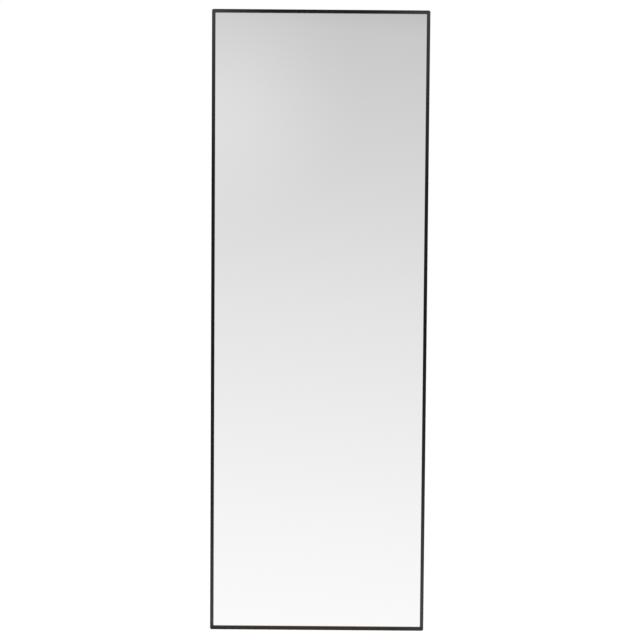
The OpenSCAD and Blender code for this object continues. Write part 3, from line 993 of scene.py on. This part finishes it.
def thread(piece, radius, start, end):
    """Draws the shank in at every second cut between two depths. So small, rings look like a helix."""
    edit(piece)
    turns = int((end - start) / THREAD_PITCH)
    for i in range(2 * turns + 1):
        cut((0, start + i * THREAD_PITCH / 2, 0), REAR)
    roots = [start + (i + 0.5) * THREAD_PITCH for i in range(turns)]

    def is_root(p, n):
        off_root = min(abs(p.y - root) for root in roots)
        return math.hypot(p.x, p.z) > radius - CREST_BAND and off_root < ROOT_WITHIN

    pick(piece, "VERT", is_root)
    widen((radius - THREAD_DEPTH) / radius)
    bpy.ops.object.mode_set(mode="OBJECT")
    print(turns, "turns of thread")


# %% Sixteen set screws as one piece
SET_SCREW_L = 4.0
STUD_CHAMFER = 0.35
STUD_PLAIN = 0.45
SOCKET_AF = 2.0
SOCKET_DEPTH = 1.6
SOCKET_LEAD = 0.15

screw_end = box_of("corner_set_screws")[1].y
stud = rod("Corner_set_screws", (0, screw_end - SET_SCREW_L, 0), SCREW_D / 2, SET_SCREW_L)
soften(stud, STUD_CHAMFER, 1, 60)
thread(stud, SCREW_D / 2, screw_end - SET_SCREW_L + STUD_PLAIN, screw_end - STUD_PLAIN)
socket_r = SOCKET_AF / 2 / math.cos(math.radians(30))
drill(stud, rod("Hexagon", (0, screw_end - SOCKET_DEPTH, 0), socket_r, SOCKET_DEPTH + 1, sides=6))
flare_r = socket_r + 1 - SOCKET_LEAD
drill(stud, rod("Lead_in", (0, screw_end - SOCKET_LEAD, 0), socket_r, 1, small=flare_r))
studs = [
    twin(stud, "Stud", to_corner(corner) @ Matrix.Translation((x * MM, 0, z * MM)))
    for corner in CORNERS for x, z in key_hole_places()
]
bpy.data.objects.remove(stud)
done(joined("Corner_set_screws", studs), "mirror", "black_steel", "corner_set_screws", black_oxide)

# %% [markdown]
# ## The hanger plates and their nuts
#
# The hanger is a plate of pressed steel with round corners, screwed over the slot into a bar nut inside
# the channel. A tongue on its upper edge is rolled round into a tube for the ring: the tongue's end face
# is pulled straight up and then spun about the hinge line, until it all but meets the tongue again.

# %% The right hanger plate, with its rolled knuckle
PLATE_T = 1.2
PLATE_R = 3.0
PLATE_EDGE_R = 0.15
RING_FROM_EDGE = 22.0
KNUCKLE_W = 9.0
KNUCKLE_NECK = 3.2
ROLL = 295
ROLL_STEPS = 28
SCREW_PITCH = 20.0
SCREW_HOLE_R = 2.25

plate_low, plate_high = box_of("hanger_plate_right")
knuckle_r = (plate_high.y - plate_low.y) / 2
hinge_z = plate_high.z - knuckle_r
ring_x = FRAME_W / 2 - RING_FROM_EDGE
plate_top = hinge_z - KNUCKLE_NECK
plate_mid_z = (plate_low.z + plate_top) / 2
screw_x = FRAME_W / 2 - SLOT_AT
screw_levels = (plate_mid_z - SCREW_PITCH / 2, plate_mid_z + SCREW_PITCH / 2)
hinge = Vector((ring_x, plate_low.y + knuckle_r, hinge_z))
print("hinge", [round(v, 3) for v in hinge])


def spin(centre, axis, angle, steps):
    """Spins right-handed about an axis, by degrees. The operator by itself turns left-handed."""
    bpy.ops.mesh.spin(steps=steps, angle=math.radians(-angle), center=Vector(centre) * MM, axis=axis)


def both_hands(piece, kind, slot, material, bodies=("mirror", "mirror")):
    """Finishes a piece drawn on the right and its reflection on the left, each on its body."""
    left = twin(piece, f"Hanger_{kind}_left", to_corner("top_left"))
    done(piece, bodies[0], slot, f"hanger_{kind}_right", material)
    done(left, bodies[1], slot, f"hanger_{kind}_left", material)


plate = block("Hanger_plate_right", plate_low, (plate_high.x, plate_low.y + PLATE_T, plate_top))
edit(plate)
bevel(plate, "EDGE", lambda p, d: abs(d.y) > ALONG, PLATE_R, 6)
for x in (ring_x - KNUCKLE_W / 2, ring_x + KNUCKLE_W / 2):
    cut((x, 0, 0), RIGHT)
pick(plate, "FACE", lambda p, n: n.z > ALONG and abs(p.x - ring_x) < KNUCKLE_W / 2)
extrude(0, 0, KNUCKLE_NECK)
spin(hinge, -RIGHT, ROLL, ROLL_STEPS)
close()
for z in screw_levels:
    drill(plate, rod("Screw_hole", (screw_x, plate_low.y - 1, z), SCREW_HOLE_R, PLATE_T + 2))
soften(plate, PLATE_EDGE_R, 2)
both_hands(plate, "plate", "zinc_plate", zinc_plate)

# %% The bar nuts inside the channel
NUT_EDGE_R = 0.2

nut_low, nut_high = box_of("hanger_nut_right")
nut = block("Hanger_nut_right", nut_low, nut_high)
soften(nut, NUT_EDGE_R, 2)
for z in screw_levels:
    drill(nut, tap(screw_x, z, nut_low.y, nut_high.y))
both_hands(nut, "nut", "zinc_plate", zinc_plate)

# %% [markdown]
# ## The D rings
#
# A ring is bent from one length of drawn wire: a straight bar in the knuckle, two tight bends, two short
# sides and a half circle. The wire's round section is drawn along the bar and then spun round each bend
# in turn.

# %% Two D rings that hang from their bars
WIRE_R = 1.25
RING_BEND = 2.0
RING_SIDE = 4.0
WIRE_SIDES = 20

ring_low, ring_high = box_of("hanger_ring_right")
arc_r = (ring_high.x - ring_low.x) / 2 - WIRE_R
bend_x = arc_r - RING_BEND
across = (0, math.radians(90), 0)
bpy.ops.mesh.primitive_circle_add(
    vertices=WIRE_SIDES, radius=WIRE_R * MM, location=hinge * MM, rotation=across,
)
bpy.ops.object.transform_apply(location=True, rotation=True, scale=True)
ring = bpy.context.active_object
ring.name = "Hanger_ring_right"
edit(ring)
extrude(bend_x, 0, 0)
spin(hinge + Vector((bend_x, 0, -RING_BEND)), REAR, 90, 8)
extrude(0, 0, RING_BEND - RING_SIDE)
spin(hinge + Vector((0, 0, -RING_SIDE)), REAR, 180, 32)
extrude(0, 0, RING_SIDE - RING_BEND)
spin(hinge + Vector((-bend_x, 0, -RING_BEND)), REAR, 90, 8)
extrude(bend_x, 0, 0)
close()
both_hands(ring, "ring", "nickel_wire", nickel_wire, ("right_ring", "left_ring"))

# %% [markdown]
# ## The pan head screws
#
# Four machine screws hold the hangers. The head is a low cylinder with a rounded crown and a cross recess
# that narrows as it goes down, so a tapered cross is cut out of it. The shank's end is chamfered.

# %% Four pan head screws as one piece
HEAD_D = 7.6
HEAD_H = 2.4
CROWN_R = 0.95
SHANK_CHAMFER = 0.4
SHANK_TIP = 0.5
SHANK_NECK = 0.4
CROSS_L = 4.2
CROSS_W = 1.0
CROSS_DEPTH = 1.45
CROSS_TAPER = (0.45, 1, 0.7)

screws_low, screws_high = box_of("hanger_screws")
seat = screws_high.y - HEAD_H
screw = rod("Hanger_screws", (0, screws_low.y, 0), SCREW_D / 2, seat - screws_low.y)
edit(screw)
bevel(screw, "EDGE", lambda p, d: abs(p.y - screws_low.y) < NEAR, SHANK_CHAMFER)
pick(screw, "FACE", lambda p, n: n.y > ALONG)
extrude(0, 0, 0)
widen(HEAD_D / SCREW_D)
extrude(0, HEAD_H, 0)
bevel(screw, "EDGE", lambda p, d: abs(p.y - screws_high.y) < NEAR, CROWN_R, 5)
close()
thread(screw, SCREW_D / 2, screws_low.y + SHANK_TIP, seat - SHANK_NECK)
cross_y = screws_high.y - CROSS_DEPTH
for turn in (0, 90):
    wing_high = (CROSS_L / 2, screws_high.y + 1, CROSS_W / 2)
    wing = block("Wing", (-CROSS_L / 2, cross_y, -CROSS_W / 2), wing_high)
    edit(wing)
    pick(wing, "FACE", lambda p, n: n.y < -ALONG)
    bpy.ops.transform.resize(value=CROSS_TAPER, center_override=(0, cross_y * MM, 0))
    bpy.ops.object.mode_set(mode="OBJECT")
    wing.data.transform(Matrix.Rotation(math.radians(turn + 45), 4, "Y"))
    drill(screw, wing)
screws = [
    twin(screw, "Screw", to_corner(corner) @ Matrix.Translation((screw_x * MM, 0, z * MM)))
    for corner in ("top_right", "top_left") for z in screw_levels
]
bpy.data.objects.remove(screw)
done(joined("Hanger_screws", screws), "mirror", "zinc_plate", "hanger_screws", zinc_plate)

# %% [markdown]
# ## The wall bumpers
#
# A bumper is one moulding: a round pad with a soft rim, a stem that fills the slot, and a barb that
# tapers to a blunt point, so that it can be pushed in but not pulled out. The pad's front face is drawn
# in to the stem, pulled out, and widened and narrowed in turn for the barb.

# %% Four bumpers
PAD_RIM = 1.2
STEM_R = 2.6
BARB_R = 3.5
BARB_L = 2.6

pad_low, pad_high = box_of("wall_bumper_top_right")
pad_r = (pad_high.z - pad_low.z) / 2
pad_x, pad_z = FRAME_W / 2 - SLOT_AT, (pad_high.z + pad_low.z) / 2
bumper = rod("Wall_bumper_top_right", (pad_x, BACK_Y, pad_z), pad_r, pad_high.y - BACK_Y, sides=48)
edit(bumper)
bevel(bumper, "EDGE", lambda p, d: abs(p.y - pad_high.y) < NEAR, PAD_RIM, 6)
pick(bumper, "FACE", lambda p, n: n.y < -ALONG)
bpy.ops.mesh.inset(thickness=(pad_r - STEM_R) * MM)
extrude(0, -REAR_LIP_T, 0)
for share, step in ((BARB_R / STEM_R, 0), (STEM_R / 2 / BARB_R, BARB_L)):
    extrude(0, -step, 0)
    widen(share, pad_x, pad_z)
close()
for corner in CORNERS:
    piece = bumper if corner == "top_right" else twin(bumper, "Wall_bumper_" + corner, to_corner(corner))
    done(piece, "mirror", "bumper_rubber", "wall_bumper_" + corner, moulded_rubber)
